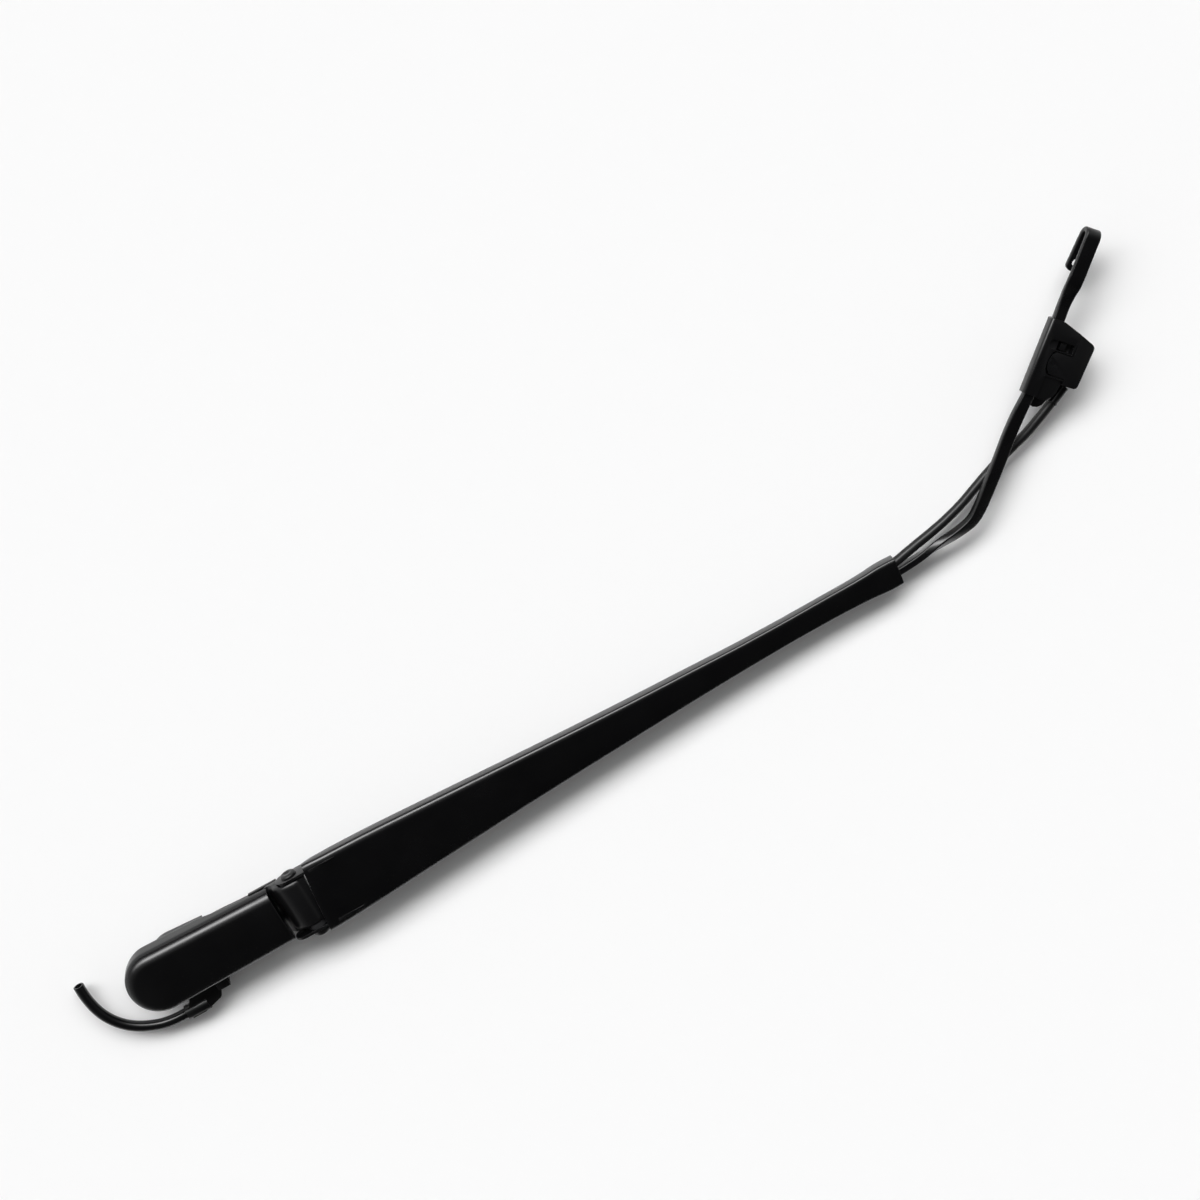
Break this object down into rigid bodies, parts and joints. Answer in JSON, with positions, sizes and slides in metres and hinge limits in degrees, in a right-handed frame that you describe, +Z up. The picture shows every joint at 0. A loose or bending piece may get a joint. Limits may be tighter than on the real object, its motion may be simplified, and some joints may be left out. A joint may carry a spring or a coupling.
{
  "type": "wiper arm",
  "caption": "Long sprung windscreen wiper arm with a hinged head under a flip-up cover, tapering channel, bent rod with hook end, washer hose and clip-on spray jet",
  "frame": {"origin": "on the spindle bore's axis, at the hub's foot", "axes": "+X out along the channel toward the hook, +Y to the side the rod bends to, +Z up away from the glass"},
  "size_m": [0.7097, 0.1657, 0.026],
  "materials": {
    "casting_black": "satin black powder coat on a die-casting",
    "cover_black": "satin black moulded plastic",
    "channel_black": "satin black powder coat on pressed steel",
    "rod_black": "satin black powder coat on forged steel",
    "pin_black": "semi-gloss black on a riveted steel pin",
    "bush_plastic": "dark self-lubricating plastic",
    "plated_steel": "zinc-plated steel",
    "spring_steel": "oiled spring steel",
    "feed_plastic": "black moulded nylon",
    "clip_plastic": "black moulded plastic",
    "jet_plastic": "semi-gloss black moulded plastic",
    "hose_rubber": "smooth black rubber hose",
    "pipe_rubber": "glossy black preformed hose",
    "nozzle_brass": "turned brass"
  },
  "bodies": {
    "head": {"head_casting": "casting_black", "hinge_bush_far": "bush_plastic", "hinge_bush_near": "bush_plastic", "link_pin": "plated_steel", "spring_link": "plated_steel", "inlet_connector": "feed_plastic", "connector_clip": "clip_plastic", "inlet_pipe": "pipe_rubber", "hinge_hose": "hose_rubber"},
    "cover": {"nut_cover": "cover_black"},
    "arm": {"hinge_pin": "pin_black", "tension_spring": "spring_steel", "spring_anchor": "plated_steel", "arm_channel": "channel_black", "hook_rod": "rod_black", "hose_joiner": "feed_plastic", "washer_hose": "hose_rubber", "hose_clip_inner": "clip_plastic", "hose_clip_outer": "clip_plastic", "jet_housing": "jet_plastic", "jet_side_cover": "jet_plastic", "jet_clip_stud": "jet_plastic", "jet_latch_plate": "jet_plastic", "jet_nipple": "feed_plastic", "hose_sleeve": "pipe_rubber", "jet_nozzle_inner": "nozzle_brass", "jet_nozzle_outer": "nozzle_brass"}
  },
  "joints": [
    {"name": "arm_fold", "type": "hinge", "parent": "head", "child": "arm", "pos_m": [0.083, 0, 0.018], "axis": [0, -1, 0], "range_deg": [0, 75], "stiffness_Nm_per_rad": 3, "springref_deg": -91.67, "deforming": ["tension_spring", "hinge_hose"]},
    {"name": "cover_flip", "type": "hinge", "parent": "head", "child": "cover", "pos_m": [0.062, 0, 0.02], "axis": [0, 1, 0], "range_deg": [0, 75]}
  ]
}
